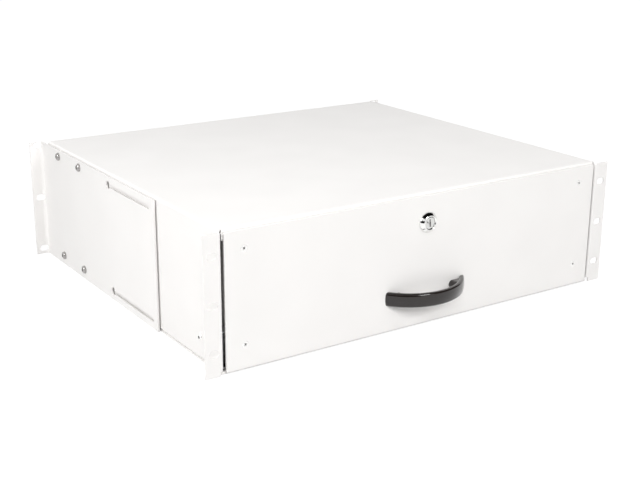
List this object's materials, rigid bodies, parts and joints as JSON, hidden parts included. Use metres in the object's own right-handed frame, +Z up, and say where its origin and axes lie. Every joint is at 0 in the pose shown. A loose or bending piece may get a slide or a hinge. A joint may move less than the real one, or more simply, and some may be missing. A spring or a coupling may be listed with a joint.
{
  "type": "sliding rack drawer",
  "caption": "Lockable white steel drawer for a 19-inch rack: a closed case with front ears and adjustable rear brackets, and a tray on ball-bearing slides with a bow handle and a cam lock.",
  "frame": {"origin": "centre of the four corner slots of the front ears, on the ears' front face", "axes": "+X right across the front, +Y into the rack, +Z up"},
  "size_m": [0.4826, 0.435, 0.133],
  "materials": {
    "powder_coat": "fine white powder coat, satin",
    "zinc_steel": "bright zinc plate",
    "slide_steel": "rolled zinc-plated strip",
    "bearing_steel": "polished",
    "lock_chrome": "bright chrome",
    "black_screw": "dark plated",
    "handle_black": "moulded gloss black",
    "rubber": "matt"
  },
  "bodies": {
    "case": {"case_shell": "powder_coat", "bottom_pan": "powder_coat", "pan_rivets": "zinc_steel", "rear_panel": "powder_coat", "rear_panel_screws": "zinc_steel", "rear_bumpers": "rubber", "lock_strike": "powder_coat", "left_rear_bracket": "powder_coat", "right_rear_bracket": "powder_coat", "bracket_screws": "black_screw", "bracket_standoffs": "zinc_steel", "slide_rivets": "zinc_steel", "slide_buffers": "handle_black", "left_slide_outer": "slide_steel", "right_slide_outer": "slide_steel"},
    "drawer": {"tray_base": "powder_coat", "tray_back": "powder_coat", "left_tray_side": "powder_coat", "right_tray_side": "powder_coat", "front_panel": "powder_coat", "panel_screws": "zinc_steel", "panel_nuts": "zinc_steel", "tray_screws": "zinc_steel", "handle": "handle_black", "handle_screws": "zinc_steel", "lock_housing": "lock_chrome", "lock_nut": "zinc_steel", "left_slide_inner": "slide_steel", "right_slide_inner": "slide_steel"},
    "key_plug": {"lock_plug": "lock_chrome", "lock_cam": "zinc_steel", "cam_screw": "zinc_steel"},
    "left_middle_rail": {"left_slide_middle": "slide_steel"},
    "left_outer_ball_cage": {"left_outer_cage": "zinc_steel", "left_outer_balls": "bearing_steel"},
    "left_inner_ball_cage": {"left_inner_cage": "zinc_steel", "left_inner_balls": "bearing_steel"},
    "right_middle_rail": {"right_slide_middle": "slide_steel"},
    "right_outer_ball_cage": {"right_outer_cage": "zinc_steel", "right_outer_balls": "bearing_steel"},
    "right_inner_ball_cage": {"right_inner_cage": "zinc_steel", "right_inner_balls": "bearing_steel"}
  },
  "joints": [
    {"name": "drawer_slide", "type": "slide", "parent": "case", "child": "drawer", "axis": [0, -1, 0], "range_m": [0, 0.3]},
    {"name": "lock_turn", "type": "hinge", "parent": "drawer", "child": "key_plug", "pos_m": [0, 0, 0.03723], "axis": [0, 1, 0], "range_deg": [0, 90]},
    {"name": "left_middle_run", "type": "slide", "parent": "case", "child": "left_middle_rail", "axis": [0, -1, 0], "range_m": [0, 0.15]},
    {"name": "left_outer_ball_run", "type": "slide", "parent": "case", "child": "left_outer_ball_cage", "axis": [0, -1, 0], "range_m": [0, 0.075]},
    {"name": "left_inner_ball_run", "type": "slide", "parent": "case", "child": "left_inner_ball_cage", "axis": [0, -1, 0], "range_m": [0, 0.225]},
    {"name": "right_middle_run", "type": "slide", "parent": "case", "child": "right_middle_rail", "axis": [0, -1, 0], "range_m": [0, 0.15]},
    {"name": "right_outer_ball_run", "type": "slide", "parent": "case", "child": "right_outer_ball_cage", "axis": [0, -1, 0], "range_m": [0, 0.075]},
    {"name": "right_inner_ball_run", "type": "slide", "parent": "case", "child": "right_inner_ball_cage", "axis": [0, -1, 0], "range_m": [0, 0.225]}
  ],
  "couplings": [
    {"joint": "left_middle_run", "follows": "drawer_slide", "ratio": 0.5},
    {"joint": "left_outer_ball_run", "follows": "drawer_slide", "ratio": 0.25},
    {"joint": "left_inner_ball_run", "follows": "drawer_slide", "ratio": 0.75},
    {"joint": "right_middle_run", "follows": "drawer_slide", "ratio": 0.5},
    {"joint": "right_outer_ball_run", "follows": "drawer_slide", "ratio": 0.25},
    {"joint": "right_inner_ball_run", "follows": "drawer_slide", "ratio": 0.75}
  ]
}
